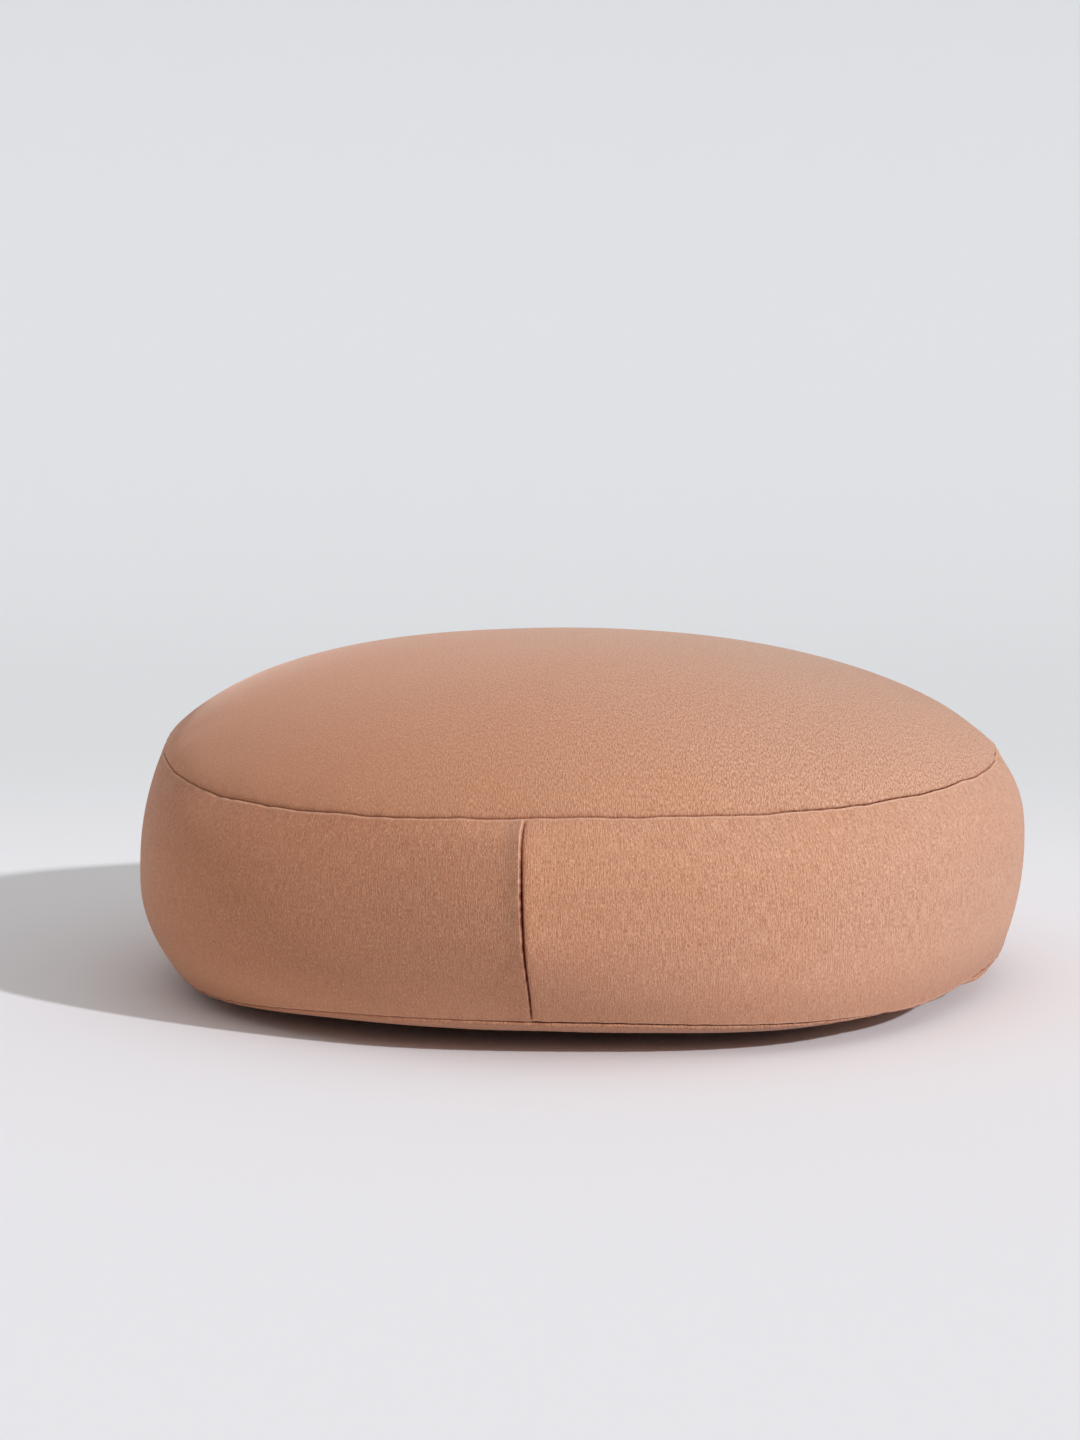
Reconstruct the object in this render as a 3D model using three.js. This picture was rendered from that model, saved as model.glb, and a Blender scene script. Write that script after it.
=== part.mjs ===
// A round, plump floor cushion: a crowned top panel, a bulging side band and a flat-resting bottom panel.
// Millimetres, +Z up, the origin on the floor under the middle of the cushion.

import * as THREE from 'three';

// Driving dimensions of a plain, even cushion
const topSeamRadius = 185;
const topSeamHeight = 98;
const bulgeRadius = 200;
const bulgeHeight = 55;
const lowSeamRadius = 185;
const lowSeamHeight = 15;
const crownRise = 53;
const restingRadius = 92;

// How full each stretch of the section is: a higher power stays out longer before it turns in
const crownSpread = 2.15;
const crownShoulder = 0.74;
const upperBandFullness = 2.79;
const lowerBandFullness = 2;
const rollFullness = 1.85;

// The sewn lines
const seamDrawIn = 1.6;
const seamLipWidth = 1.4;
const joinAzimuth = 262;
const joinLean = 0.8;

const stepsAround = 96;

// How the filled cloth departs from the even cushion, in mm, every 30 degrees.
// Azimuth 0 is +X, 90 the back and 270 the front. "out" is away from the middle, "up" is +Z.
const unevenness = [
  { azimuth: 0,   topOut: 1,  topUp: 2,  bulgeOut: -1, bulgeUp: 7,  lowOut: 6,  lowUp: 2 },
  { azimuth: 30,  topOut: 3,  topUp: 0,  bulgeOut: 1,  bulgeUp: 5,  lowOut: 7,  lowUp: 5 },
  { azimuth: 60,  topOut: 3,  topUp: -3, bulgeOut: 0,  bulgeUp: 2,  lowOut: 2,  lowUp: 0 },
  { azimuth: 90,  topOut: 2,  topUp: 0,  bulgeOut: -2, bulgeUp: 0,  lowOut: 1,  lowUp: -1 },
  { azimuth: 120, topOut: 2,  topUp: 5,  bulgeOut: -2, bulgeUp: -1, lowOut: 0,  lowUp: 0 },
  { azimuth: 150, topOut: 3,  topUp: 12, bulgeOut: -3, bulgeUp: -4, lowOut: 0,  lowUp: 1 },
  { azimuth: 180, topOut: 3,  topUp: 5,  bulgeOut: -3, bulgeUp: -7, lowOut: 0,  lowUp: -1 },
  { azimuth: 210, topOut: -1, topUp: -3, bulgeOut: 3,  bulgeUp: -7, lowOut: 2,  lowUp: -7 },
  { azimuth: 240, topOut: -4, topUp: -3, bulgeOut: -5, bulgeUp: -4, lowOut: 2,  lowUp: -1 },
  { azimuth: 270, topOut: -4, topUp: 0,  bulgeOut: -1, bulgeUp: -1, lowOut: -2, lowUp: 0 },
  { azimuth: 300, topOut: -4, topUp: -1, bulgeOut: -2, bulgeUp: 2,  lowOut: 7,  lowUp: -3 },
  { azimuth: 330, topOut: -3, topUp: 0,  bulgeOut: -4, bulgeUp: 6,  lowOut: 0,  lowUp: -4 },
];

// Across the band's lapped join, left to right, in mm: how far the cloth stands out at each place.
// "ridge" is the blunt corner to which both ends run up, because the seam's layers are stiff.
// "fold" is the lap itself: the left end rises to a turned edge and drops into the crevice.
const joinSection = [
  { across: -74,  ridge: 0,   fold: 0 },
  { across: -56,  ridge: 0.4, fold: 0 },
  { across: -40,  ridge: 1.3, fold: 0 },
  { across: -25,  ridge: 2.6, fold: 0 },
  { across: -13,  ridge: 4.1, fold: 0 },
  { across: -6,   ridge: 5.2, fold: 0.3 },
  { across: -0.6, ridge: 6,   fold: 1 },
  { across: 0.7,  ridge: 5.9, fold: -0.4 },
  { across: 2.2,  ridge: 5.6, fold: 0.1 },
  { across: 7,    ridge: 4.6, fold: 0 },
  { across: 15,   ridge: 3.2, fold: 0 },
  { across: 26,   ridge: 1.9, fold: 0 },
  { across: 40,   ridge: 0.8, fold: 0 },
  { across: 56,   ridge: 0.2, fold: 0 },
  { across: 74,   ridge: 0,   fold: 0 },
];

// How much of the ridge shows down the band: none at the top seam, and fading out low down
const ridgeFull = 0.08;
const ridgeFadeFrom = 0.5;
const ridgeFadeTo = 0.92;

const degrees = Math.PI / 180;

// A smooth closed curve through one column of the unevenness table
function departure(column, azimuth) {
  const count = unevenness.length;
  const place = ((azimuth % 360 + 360) % 360) / (360 / count);
  const row = Math.floor(place);
  const part = place - row;
  const value = (offset) => unevenness[(row + offset + count) % count][column];
  const [before, from, to, after] = [value(-1), value(0), value(1), value(2)];
  const bend = 2 * before - 5 * from + 4 * to - after;
  const twist = 3 * (from - to) + after - before;
  return from + 0.5 * part * (to - before + part * (bend + part * twist));
}

// The six sizes of the side section at one azimuth
function sectionAt(azimuth) {
  return {
    topRadius: topSeamRadius + departure('topOut', azimuth),
    topHeight: topSeamHeight + departure('topUp', azimuth),
    bulge: bulgeRadius + departure('bulgeOut', azimuth),
    bulgeMid: bulgeHeight + departure('bulgeUp', azimuth),
    lowRadius: lowSeamRadius + departure('lowOut', azimuth),
    lowHeight: lowSeamHeight + departure('lowUp', azimuth),
  };
}

const meanTopHeight = topSeamHeight
  + unevenness.reduce((sum, row) => sum + row.topUp, 0) / unevenness.length;

// The top panel, from its middle (share 0) to the top seam (share 1)
function crownPoint(section, share) {
  const edgeShare = share ** 2;
  const base = section.topHeight * edgeShare + meanTopHeight * (1 - edgeShare);
  const rise = crownRise * (1 - share ** crownSpread) ** crownShoulder;
  return { radius: section.topRadius * share, height: base + rise };
}

// The band above the bulge, from the top seam (share 1) to the bulge (share 0)
function upperBandPoint(section, share) {
  const turnIn = share ** upperBandFullness;
  return {
    radius: section.bulge + (section.topRadius - section.bulge) * turnIn,
    height: section.bulgeMid + (section.topHeight - section.bulgeMid) * share,
  };
}

// The band below the bulge, from the bulge (share 0) to the bottom seam (share 1)
function lowerBandPoint(section, share) {
  const turnIn = share ** lowerBandFullness;
  return {
    radius: section.bulge + (section.lowRadius - section.bulge) * turnIn,
    height: section.bulgeMid + (section.lowHeight - section.bulgeMid) * share,
  };
}

// The bottom panel's rolled edge, from the bottom seam (share 0) to the floor (share 1)
function rollPoint(section, share) {
  const turn = share * Math.PI / 2;
  const power = 2 / rollFullness;
  return {
    radius: restingRadius + (section.lowRadius - restingRadius) * Math.max(0, Math.cos(turn)) ** power,
    height: section.lowHeight * (1 - Math.sin(turn) ** power),
  };
}

// An even rise from 0 to 1 between two places
function easeBetween(from, to, place) {
  const part = Math.min(1, Math.max(0, (place - from) / (to - from)));
  return part * part * (3 - 2 * part);
}

function ridgeShare(down) {
  return easeBetween(0, ridgeFull, down) * (1 - easeBetween(ridgeFadeFrom, ridgeFadeTo, down));
}

// A seam pulls the cloth inwards, so its ring is drawn in between two rounded lips
function drawnIn(point) {
  return { radius: point.radius - seamDrawIn, height: point.height };
}

// Where the rings of the skin lie along each stretch, closer together towards the seams.
// The ring next to each seam is about one lip width away from it.
const crownLip = 1 - seamLipWidth / topSeamRadius;
const upperBandLip = 1 - seamLipWidth / (topSeamHeight - bulgeHeight);
const lowerBandLip = 1 - seamLipWidth / (bulgeHeight - lowSeamHeight);
const rollLip = seamLipWidth / lowSeamHeight;
const crownShares = [0.14, 0.28, 0.42, 0.55, 0.67, 0.77, 0.86, 0.925, 0.965, crownLip];
const upperBandShares = [upperBandLip, 0.85, 0.68, 0.5, 0.3, 0.1];
const lowerBandShares = [0.12, 0.34, 0.55, 0.74, 0.88, lowerBandLip];
const rollShares = [rollLip, 0.22, 0.42, 0.68, 1];

// The rings from the crown's middle to the floor. "band" is 1 where the lapped join shows,
// and "down" runs from 0 at the top seam to 1 at the bottom seam.
const rings = [
  ...crownShares.map((share) => ({ at: (section) => crownPoint(section, share), band: 0, down: 0 })),
  { at: (section) => drawnIn(upperBandPoint(section, 1)), band: 0, down: 0 },
  ...upperBandShares.map((share) => (
    { at: (section) => upperBandPoint(section, share), band: 1, down: (1 - share) / 2 }
  )),
  ...lowerBandShares.map((share) => (
    { at: (section) => lowerBandPoint(section, share), band: 1, down: (1 + share) / 2 }
  )),
  { at: (section) => drawnIn(lowerBandPoint(section, 1)), band: 0, down: 1 },
  ...rollShares.map((share) => ({ at: (section) => rollPoint(section, share), band: 0, down: 1 })),
];

// Azimuths of the skin's lines: even steps, with the join's own lines in place of those near it
function azimuths() {
  const perDegree = bulgeRadius * degrees;
  const reach = joinSection[joinSection.length - 1].across / perDegree;
  const step = 360 / stepsAround;
  const join = joinSection.map((line) => (
    { angle: joinAzimuth + line.across / perDegree, ridge: line.ridge, fold: line.fold }
  ));
  const first = joinAzimuth + reach + step;
  const stretch = 360 - 2 * (reach + step);
  const count = Math.round(stretch / step);
  const plain = Array.from({ length: count + 1 }, (unused, index) => (
    { angle: first + stretch * index / count, ridge: 0, fold: 0 }
  ));
  return [...join, ...plain];
}

// One closed skin: the crown's middle, the rings, and the middle of the resting face
function cushionGeometry() {
  const lines = azimuths();
  const positions = [0, 0, meanTopHeight + crownRise];
  for (const ring of rings) {
    for (const line of lines) {
      const azimuth = line.angle + joinLean * ring.down;
      const turn = azimuth * degrees;
      const point = ring.at(sectionAt(azimuth));
      const radius = point.radius + line.fold * ring.band + line.ridge * ridgeShare(ring.down);
      positions.push(radius * Math.cos(turn), radius * Math.sin(turn), point.height);
    }
  }
  const restingMiddle = positions.length / 3;
  positions.push(0, 0, 0);

  const faces = [];
  const vertex = (ring, line) => 1 + ring * lines.length + line % lines.length;
  const lastRing = rings.length - 1;
  for (let line = 0; line < lines.length; line += 1) {
    faces.push(0, vertex(0, line), vertex(0, line + 1));
    for (let ring = 0; ring < lastRing; ring += 1) {
      faces.push(vertex(ring, line), vertex(ring + 1, line), vertex(ring + 1, line + 1));
      faces.push(vertex(ring, line), vertex(ring + 1, line + 1), vertex(ring, line + 1));
    }
    faces.push(vertex(lastRing, line), restingMiddle, vertex(lastRing, line + 1));
  }

  const geometry = new THREE.BufferGeometry();
  geometry.setAttribute('position', new THREE.Float32BufferAttribute(positions, 3));
  geometry.setIndex(faces);
  geometry.computeVertexNormals();

  // The uneven bulge is centred over the origin
  geometry.computeBoundingBox();
  const middle = geometry.boundingBox.getCenter(new THREE.Vector3());
  geometry.translate(-middle.x, -middle.y, 0);
  return geometry;
}

const terracottaCloth = new THREE.MeshStandardMaterial({ color: '#be876c', roughness: 0.95, metalness: 0 });

const cushion = new THREE.Mesh(cushionGeometry(), terracottaCloth);
cushion.name = 'cushion';

const group = new THREE.Group();
group.add(cushion);

export default group;
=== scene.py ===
import math

import bpy
import numpy as np
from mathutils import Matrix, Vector
from mathutils.kdtree import KDTree


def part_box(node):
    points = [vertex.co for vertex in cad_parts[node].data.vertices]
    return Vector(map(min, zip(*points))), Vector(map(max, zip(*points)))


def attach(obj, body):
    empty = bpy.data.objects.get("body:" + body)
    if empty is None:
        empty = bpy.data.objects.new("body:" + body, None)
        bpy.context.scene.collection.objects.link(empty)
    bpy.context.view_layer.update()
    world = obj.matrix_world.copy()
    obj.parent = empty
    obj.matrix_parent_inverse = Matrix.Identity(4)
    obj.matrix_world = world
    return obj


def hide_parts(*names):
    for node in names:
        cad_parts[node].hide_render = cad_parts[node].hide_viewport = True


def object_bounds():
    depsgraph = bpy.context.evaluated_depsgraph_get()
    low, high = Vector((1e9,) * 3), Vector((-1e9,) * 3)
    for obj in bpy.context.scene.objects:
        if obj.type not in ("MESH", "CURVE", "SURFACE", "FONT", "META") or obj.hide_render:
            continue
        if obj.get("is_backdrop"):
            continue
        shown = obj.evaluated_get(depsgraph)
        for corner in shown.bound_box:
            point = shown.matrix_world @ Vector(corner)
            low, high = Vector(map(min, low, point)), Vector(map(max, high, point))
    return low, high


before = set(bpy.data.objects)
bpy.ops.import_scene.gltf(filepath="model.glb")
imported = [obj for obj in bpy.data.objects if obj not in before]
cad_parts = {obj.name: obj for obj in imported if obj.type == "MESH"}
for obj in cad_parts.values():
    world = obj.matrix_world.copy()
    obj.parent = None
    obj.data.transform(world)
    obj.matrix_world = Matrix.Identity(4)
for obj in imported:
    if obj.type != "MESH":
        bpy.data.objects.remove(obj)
cad_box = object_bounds()

# The filled cushion
# A crowned top disc, a bulging side band and a bottom disc of one cloth, sewn into a cover and
# stuffed firm. Its sizes are in mm. The side section is set every 30 degrees, because the filling
# pushes unevenly, and the crown's shoulders are a little fuller than the solid's.
MM = 0.001
TOP_SEAM_RADIUS = 185
TOP_SEAM_HEIGHT = 98
BULGE_RADIUS = 200
BULGE_HEIGHT = 55
LOW_SEAM_RADIUS = 185
LOW_SEAM_HEIGHT = 15
CROWN_RISE = 53
RESTING_RADIUS = 92
CROWN_SPREAD = 2.15
CROWN_SHOULDER = 0.70
UPPER_BAND_FULLNESS = 2.79
LOWER_BAND_FULLNESS = 2
ROLL_FULLNESS = 1.85

# Departures from the even cushion in mm. Azimuth 0 is +X, 90 the back and 270 the front.
UNEVENNESS = {
    "azimuth":   (0, 30, 60, 90, 120, 150, 180, 210, 240, 270, 300, 330),
    "top_out":   (1, 3, 3, 2, 2, 3, 3, -1, -4, -4, -4, -3),
    "top_up":    (2, 0, -3, 0, 5, 12, 5, -3, -3, 0, -1, 0),
    "bulge_out": (-1, 1, 0, -2, -2, -3, -3, 3, -5, -1, -2, -4),
    "bulge_up":  (7, 5, 2, 0, -1, -4, -7, -7, -4, -1, 2, 6),
    "low_out":   (6, 7, 2, 1, 0, 0, 0, 2, 2, -2, 7, 0),
    "low_up":    (2, 5, 0, -1, 0, 1, -1, -7, -1, 0, -3, -4),
}


def departure(column, azimuth):
    """A smooth closed curve through one column of the table, at an array of azimuths."""
    values = np.array(UNEVENNESS[column], float)
    count = len(values)
    place = (azimuth % 360) / (360 / count)
    row = np.floor(place).astype(int)
    part = place - row
    before, start, end, after = (values[(row + offset) % count] for offset in (-1, 0, 1, 2))
    bend = 2 * before - 5 * start + 4 * end - after
    twist = 3 * (start - end) + after - before
    return start + 0.5 * part * (end - before + part * (bend + part * twist))


def section_at(azimuth):
    """The sizes of the side section, in mm, at an array of azimuths."""
    return {
        "top_radius": TOP_SEAM_RADIUS + departure("top_out", azimuth),
        "top_height": TOP_SEAM_HEIGHT + departure("top_up", azimuth),
        "bulge": BULGE_RADIUS + departure("bulge_out", azimuth),
        "bulge_mid": BULGE_HEIGHT + departure("bulge_up", azimuth),
        "low_radius": LOW_SEAM_RADIUS + departure("low_out", azimuth),
        "low_height": LOW_SEAM_HEIGHT + departure("low_up", azimuth),
    }


MEAN_TOP_HEIGHT = TOP_SEAM_HEIGHT + float(np.mean(UNEVENNESS["top_up"]))


def crown_point(section, share):
    """The top panel, from its middle (share 0) to the top seam (share 1)."""
    base = section["top_height"] * share**2 + MEAN_TOP_HEIGHT * (1 - share**2)
    rise = CROWN_RISE * (1 - share**CROWN_SPREAD) ** CROWN_SHOULDER
    return section["top_radius"] * share, base + rise


def band_point(section, share):
    """The side band, from the top seam (share 0) over the bulge (1) to the bottom seam (2)."""
    if share <= 1:
        turn_in = (1 - share) ** UPPER_BAND_FULLNESS
        radius = section["bulge"] + (section["top_radius"] - section["bulge"]) * turn_in
        height = section["bulge_mid"] + (section["top_height"] - section["bulge_mid"]) * (1 - share)
        return radius, height
    turn_in = (share - 1) ** LOWER_BAND_FULLNESS
    radius = section["bulge"] + (section["low_radius"] - section["bulge"]) * turn_in
    height = section["bulge_mid"] + (section["low_height"] - section["bulge_mid"]) * (share - 1)
    return radius, height


def bottom_point(section, share):
    """The bottom panel, from the bottom seam (share 0) to the floor (1) and its middle (2)."""
    if share > 1:
        radius = np.full_like(section["low_radius"], RESTING_RADIUS * (2 - share))
        return radius, np.zeros_like(radius)
    turn = share * math.pi / 2
    power = 2 / ROLL_FULLNESS
    rolled_in = max(0, math.cos(turn)) ** power
    radius = RESTING_RADIUS + (section["low_radius"] - RESTING_RADIUS) * rolled_in
    return radius, section["low_height"] * (1 - math.sin(turn) ** power)


# The blunt corner in the band's plan, to which both ends run up at their join because the
# layers sewn there are stiff. It has gone at the top seam and fades out low down.
RIDGE_PEAK = 6
RIDGE_REACH = 74
RIDGE_LEFT_POWER = 1.9
RIDGE_RIGHT_POWER = 2.6
RIDGE_FULL = 0.08
RIDGE_FADE = (0.5, 0.92)


def ease_between(start, end, place):
    """An even rise from 0 to 1 between two places."""
    part = np.clip((place - start) / (end - start), 0, 1)
    return part * part * (3 - 2 * part)


def ridge_out(across, down):
    """How far the corner stands out, in mm, at places across the join and down the band."""
    power = np.where(across < 0, RIDGE_LEFT_POWER, RIDGE_RIGHT_POWER)
    rise = RIDGE_PEAK * np.clip(1 - np.abs(across) / RIDGE_REACH, 0, 1) ** power
    return rise * ease_between(0, RIDGE_FULL, down) * (1 - ease_between(*RIDGE_FADE, down))


# The grid of the cover: rings round the cushion, and lines from the crown's middle down to the
# floor. Both lie closest in the sewn lines, and the lines closer together on the front half.
# These are the rings' distances from a seam, and from the bottom seam where the band is creased.
SEAM_RINGS = (0.18, 0.4, 0.7, 1.1, 1.6, 2.3, 3.2, 4.4, 6.0)
CREASED_RINGS = (0.18, 0.4, 0.7, 1.1, 1.6, 2.2, 2.8, 3.5, 4.2, 4.9, 5.6, 6.3,
                 7.0, 7.7, 8.5, 9.4, 10.5, 12)
CROWN_STEP = 3.6
BAND_STEP = 2.9
ROLL_STEP = 4.8
RESTING_STEP = 14
INNERMOST_RING = 4
LENGTH_SAMPLES = 4001


def shares_along(point, last_share, step, first_rings, last_rings):
    """Rings at set distances from the start and end and in even steps between: their shares, and
    how far they are from the start and from the end."""
    every_row = section_at(np.array(UNEVENNESS["azimuth"], float))
    mean_section = {name: float(np.mean(values)) for name, values in every_row.items()}
    samples = np.linspace(0, last_share, LENGTH_SAMPLES)
    places = np.array([point(mean_section, share) for share in samples])
    length = np.concatenate([[0], np.cumsum(np.hypot(*np.diff(places, axis=0).T))])
    total = length[-1]
    start = list(first_rings)
    end = [total - distance for distance in reversed(last_rings)]
    low = start[-1] if start else 0
    high = end[0] if end else total
    count = max(2, round((high - low) / step))
    middle = list(np.linspace(low, high, count + 1)[1:-1])
    if not end:
        middle.append(total)
    wanted = np.array(start + middle + end)
    shares = np.interp(wanted, length, samples)
    return [(share, distance, total - distance) for share, distance in zip(shares, wanted)]


# One row per ring: its panel, share, distances from the seams, place on the cut cloth, and how
# far down the band it is, from 0 at the top seam to 1 at the bottom seam
FAR = 1000.0
rings = []


def add_ring(panel, share, from_top_seam, from_low_seam, cut):
    down = {"top": 0, "bottom": 1}.get(panel, share / 2)
    rings.append({"panel": panel, "share": share, "from_top_seam": from_top_seam,
                  "from_low_seam": from_low_seam, "cut": cut, "down": down})


for share, from_middle, to_seam in shares_along(crown_point, 1, CROWN_STEP, (), SEAM_RINGS):
    add_ring("top", share, to_seam, FAR, from_middle)
top_cut = from_middle + to_seam
seam_row = len(rings)
add_ring("band", 0, 0, FAR, 0)
for share, from_seam, to_seam in shares_along(band_point, 2, BAND_STEP, SEAM_RINGS, CREASED_RINGS):
    add_ring("band", share, from_seam, to_seam, from_seam)
band_cut = from_seam + to_seam
low_seam_row = len(rings)
add_ring("band", 2, FAR, 0, band_cut)
for share, from_seam, to_floor in shares_along(bottom_point, 1, ROLL_STEP, SEAM_RINGS, ()):
    add_ring("bottom", share, FAR, from_seam, RESTING_RADIUS + to_floor)
bottom_cut = RESTING_RADIUS + from_seam + to_floor
for radius in np.arange(RESTING_RADIUS - RESTING_STEP, INNERMOST_RING, -RESTING_STEP):
    add_ring("bottom", 2 - radius / RESTING_RADIUS, FAR, bottom_cut - radius, radius)

# The lines start just right of the crevice of the band's join and end just left of it
JOIN_AZIMUTH = 262
RIGHT_OF_JOIN = (0.12, 0.35, 0.65, 1.0, 1.5, 2.2, 3.2, 4.5, 6, 7.8)
LEFT_OF_JOIN = (-7.5, -5.8, -4.4, -3.2, -2.2, -1.5, -1.0, -0.65, -0.4, -0.22, -0.1)
FRONT_STEP = 1.65
BACK_STEP = 3.6
MM_PER_DEGREE = BULGE_RADIUS * math.pi / 180


def even_lines(first, last, step):
    count = max(1, round((last - first) * MM_PER_DEGREE / step))
    return list(np.linspace(first, last, count + 1)[:-1])


right_lines = [JOIN_AZIMUTH + across / MM_PER_DEGREE for across in RIGHT_OF_JOIN]
left_lines = [JOIN_AZIMUTH + 360 + across / MM_PER_DEGREE for across in LEFT_OF_JOIN]
lines = np.array(
    right_lines[:-1]
    + even_lines(right_lines[-1], 360, FRONT_STEP)
    + even_lines(360, 540, BACK_STEP)
    + even_lines(540, left_lines[0], FRONT_STEP)
    + left_lines
)
across_join = ((lines - JOIN_AZIMUTH + 180) % 360 - 180) * MM_PER_DEGREE

# The join's course in degrees: it leans to the right on its way down to the bottom seam
JOIN_COURSE = {"down": (0, 0.2, 0.45, 0.65, 0.85, 1), "shift": (-0.03, 0.33, 0.6, 0.8, 0.93, 0.9)}

# A sewn line wanders up and down in waves: how many go round, how high each is, and its start
WANDER = ((23, 0.2, 1.0), (41, 0.12, 2.4), (67, 0.07, 0.7), (89, 0.04, 1.9))
WANDER_REACH = 9


def waves(rows, azimuth):
    """The sum of a table's waves at an array of azimuths."""
    turn = np.radians(azimuth)
    return sum(height * np.sin(count * turn + start) for count, height, start in rows)


def bell(distance, width):
    """A smooth bell, 1 at no distance and faded out at about twice the width."""
    return np.exp(-((distance / width) ** 2))


def hump(azimuth, centre, width):
    """A bell round the cushion, its centre an azimuth and its width in degrees."""
    return bell((azimuth - centre + 180) % 360 - 180, width)


# The rolled edge under the bottom seam turns in again above the floor. At the right front it is
# tucked in so far that the seam itself is the lowest line there. Places run from the seam (0) to
# the floor (1).
UNDER_LIFT_SHARE = 0.42
UNDER_LIFT_PLACE = 0.7
UNDER_LIFT_WIDTH = 0.21
TO_FLOOR_POWER = 8
SIDE_TUCK = 4.5
SIDE_TUCK_PLACE = 0.3
SIDE_TUCK_WIDTH = 0.2
TUCK_AZIMUTH = 319
TUCK_WIDTH = 13


def lift_under(azimuth, share, seam_height):
    """How far the rolled edge stays above its full shape, in mm."""
    if share > 1:
        return np.zeros_like(azimuth)
    under = UNDER_LIFT_SHARE * seam_height * bell(share - UNDER_LIFT_PLACE, UNDER_LIFT_WIDTH)
    tuck = SIDE_TUCK * bell(share - SIDE_TUCK_PLACE, SIDE_TUCK_WIDTH)
    return under * (1 - share**TO_FLOOR_POWER) + tuck * hump(azimuth, TUCK_AZIMUTH, TUCK_WIDTH)


form = np.zeros((len(rings), len(lines), 3))
for index, ring in enumerate(rings):
    azimuth = lines + np.interp(ring["down"], JOIN_COURSE["down"], JOIN_COURSE["shift"])
    section = section_at(azimuth)
    if ring["panel"] == "top":
        radius, height = crown_point(section, ring["share"])
    elif ring["panel"] == "band":
        radius, height = band_point(section, ring["share"])
        radius = radius + ridge_out(across_join, ring["down"])
    else:
        radius, height = bottom_point(section, ring["share"])
        height = height + lift_under(azimuth, ring["share"], section["low_height"])
    if ring["panel"] != "bottom":
        height = height + waves(WANDER, azimuth) * bell(ring["from_top_seam"], WANDER_REACH)
    turn = np.radians(azimuth)
    form[index] = np.stack([radius * np.cos(turn), radius * np.sin(turn), height], axis=1)

# The solid's box gives the place
node_low, node_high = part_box("cushion")
own_middle = (form.reshape(-1, 3).min(axis=0) + form.reshape(-1, 3).max(axis=0)) / 2
centre_x = (node_low[0] + node_high[0]) / 2 / MM - own_middle[0]
centre_y = (node_low[1] + node_high[1]) / 2 / MM - own_middle[1]
form += np.array([centre_x, centre_y, 0])
top_middle = np.array([centre_x, centre_y, MEAN_TOP_HEIGHT + CROWN_RISE])
bottom_middle = np.array([centre_x, centre_y, 0.0])
NO_LENGTH = 1e-9


def outward(surface):
    """Unit normals of the grid of points, pointing out of the cushion."""
    along = np.gradient(surface, axis=0)
    wrapped = np.concatenate([surface[:, -1:], surface, surface[:, :1]], axis=1)
    around = (wrapped[:, 2:] - wrapped[:, :-2]) / 2
    normal = np.cross(along, around)
    return normal / np.maximum(np.linalg.norm(normal, axis=2, keepdims=True), NO_LENGTH)


def grid_mesh(name, surface):
    """A closed mesh of the grid of points in mm, with a fan at the crown's middle and one below."""
    ring_count, line_count = surface.shape[:2]
    line = np.arange(line_count)
    following = (line + 1) % line_count
    upper = 1 + np.arange(ring_count - 1)[:, None] * line_count
    lower = upper + line_count
    quads = np.stack([upper + line, lower + line, lower + following, upper + following], axis=2)
    last = 1 + ring_count * line_count
    edge = last - line_count
    top_fan = np.stack([np.zeros_like(line), 1 + line, 1 + following], axis=1)
    bottom_fan = np.stack([edge + line, np.full_like(line, last), edge + following], axis=1)
    points = np.concatenate([[top_middle], surface.reshape(-1, 3), [bottom_middle]]) * MM
    faces = top_fan.tolist() + quads.reshape(-1, 4).tolist() + bottom_fan.tolist()
    mesh = bpy.data.meshes.new(name)
    mesh.from_pydata(points.tolist(), [], faces)
    mesh.update()
    return mesh


# The filling's pressure
# The cover is held at its seams and at the floor and the filling pushes the cloth out between
# them. The simulated move is capped and carried over to the fine grid, and then the whole cover
# is set to stand a little proud of the solid.
START_INSET = 1.5
PRESSURE = 4.0
SIM_QUALITY = 6
SIM_FRAMES = 20
MOVE_CAP = 4.0
PROUD = 0.5
SIM_VOXEL = 6.5
HELD_REACH = 5.0
FLOOR_REACH = 1.0
CELLS_ASKED = 12

normals = outward(form)
seam_points = KDTree(2 * len(lines))
for count, row in enumerate((seam_row, low_seam_row)):
    for line in range(len(lines)):
        seam_points.insert(form[row, line], count * len(lines) + line)
seam_points.balance()

start_form = form - START_INSET * normals
start_form[:, :, 2] = np.maximum(start_form[:, :, 2], 0)
trial = bpy.data.objects.new("pressure trial", grid_mesh("pressure trial", start_form))
bpy.context.scene.collection.objects.link(trial)
remesh = trial.modifiers.new("even cells", "REMESH")
remesh.mode = "VOXEL"
remesh.voxel_size = SIM_VOXEL * MM
evaluated = trial.evaluated_get(bpy.context.evaluated_depsgraph_get())
even_mesh = bpy.data.meshes.new_from_object(evaluated)
trial.modifiers.remove(remesh)
trial.data = even_mesh

held = trial.vertex_groups.new(name="held")
for vertex in even_mesh.vertices:
    place = vertex.co / MM
    distance = seam_points.find(place)[2]
    if distance < HELD_REACH or place.z < FLOOR_REACH:
        held.add([vertex.index], 1.0, "REPLACE")

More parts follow.
